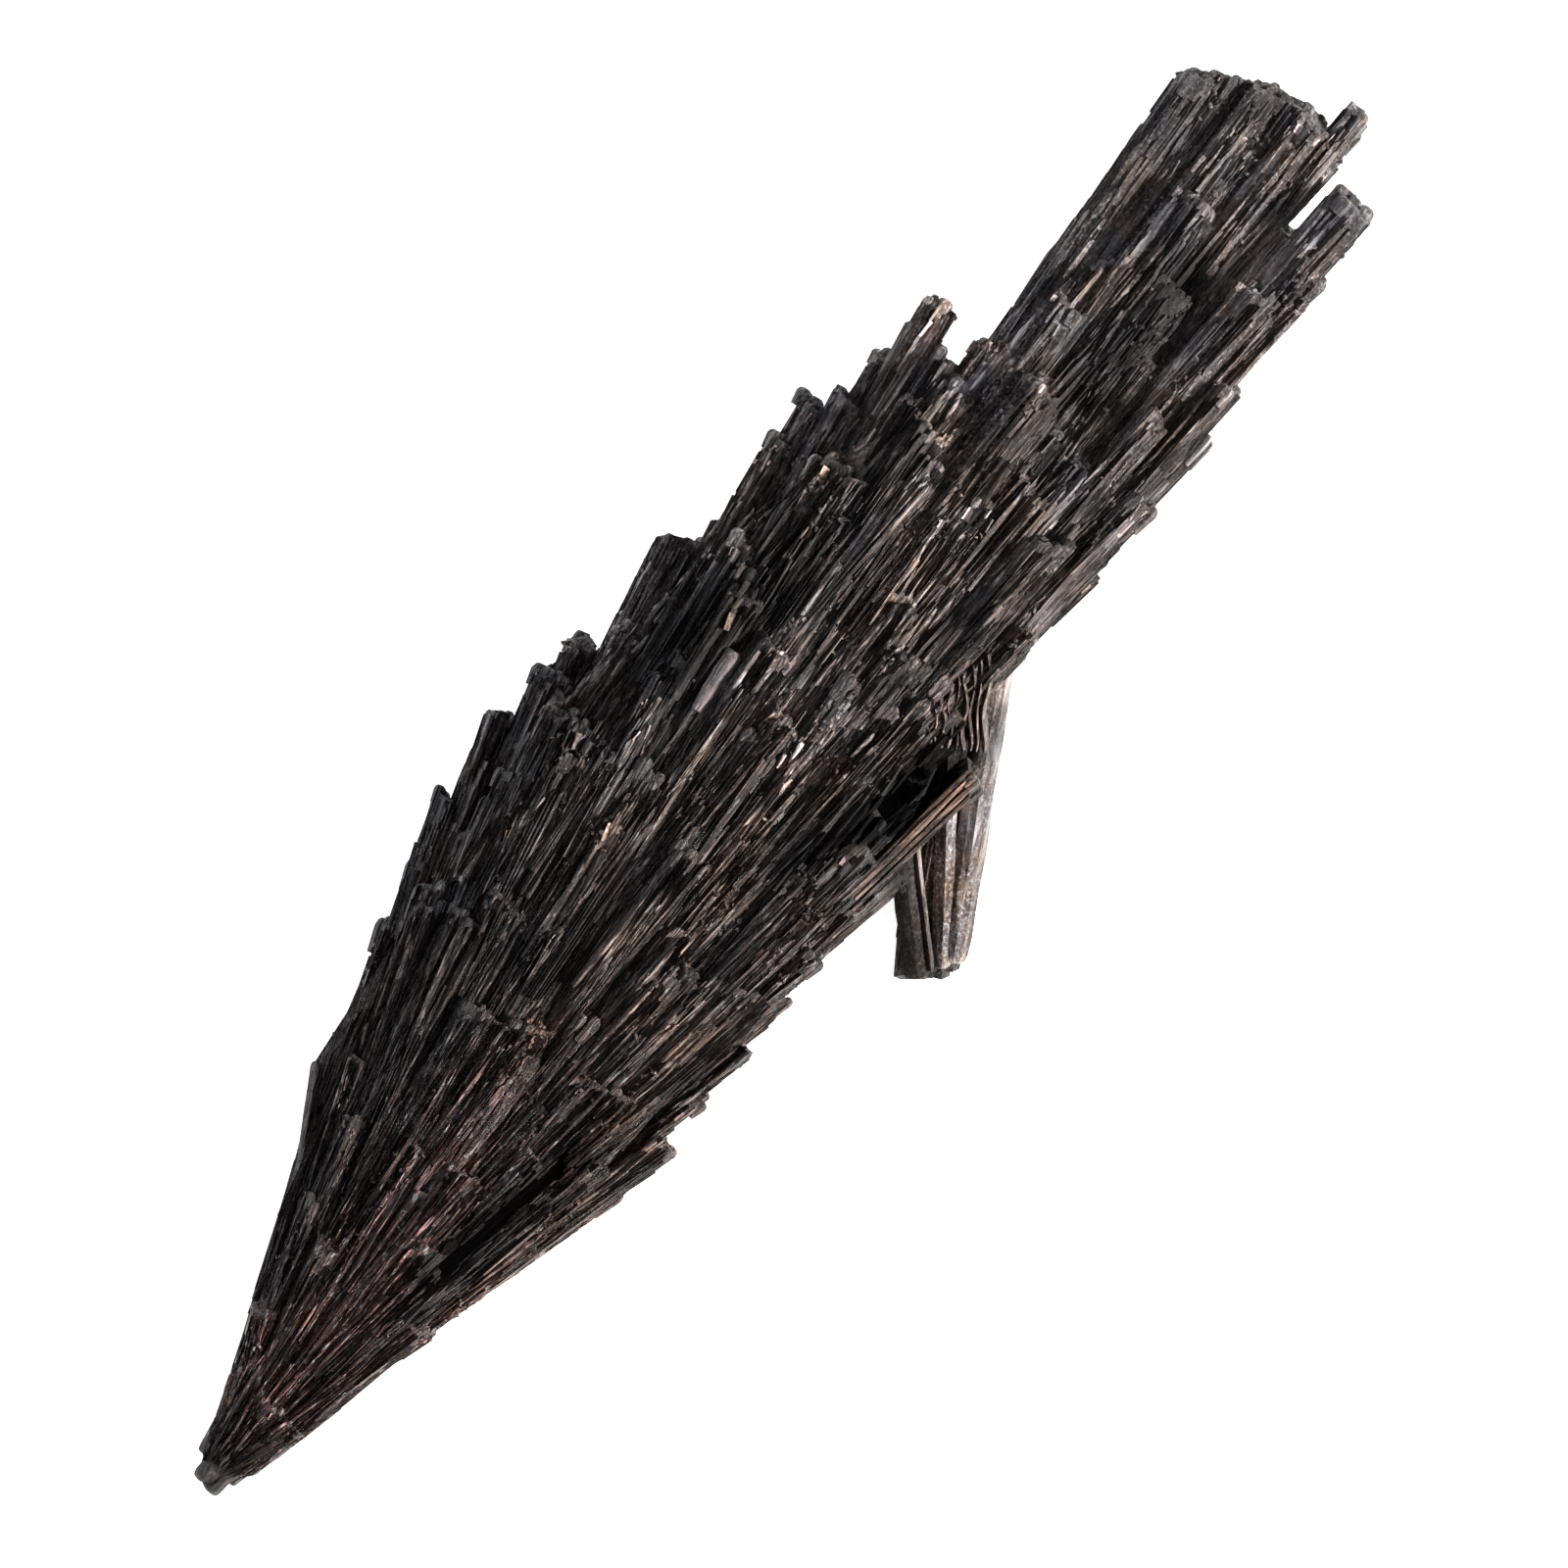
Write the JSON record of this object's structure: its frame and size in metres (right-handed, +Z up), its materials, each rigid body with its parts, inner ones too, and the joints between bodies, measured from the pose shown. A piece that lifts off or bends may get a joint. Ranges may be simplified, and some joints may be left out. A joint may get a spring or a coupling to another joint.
{
  "type": "black tourmaline fan",
  "caption": "Fan-shaped spray of flat, striated black crystals that spread from a narrow root, with a small spray grown across its underside. Lies flat.",
  "frame": {"origin": "under the middle of the piece's bounding box, on the surface that it lies on", "axes": "+X from the root to the longest crystals, +Y to the wide side of the fan, +Z up from the surface"},
  "size_m": [0.0918, 0.027, 0.0096],
  "materials": {
    "tourmaline": "natural, striated, half-matt with small bright glints"
  },
  "bodies": {
    "root": {"crystal_fan": "tourmaline"}
  },
  "joints": []
}
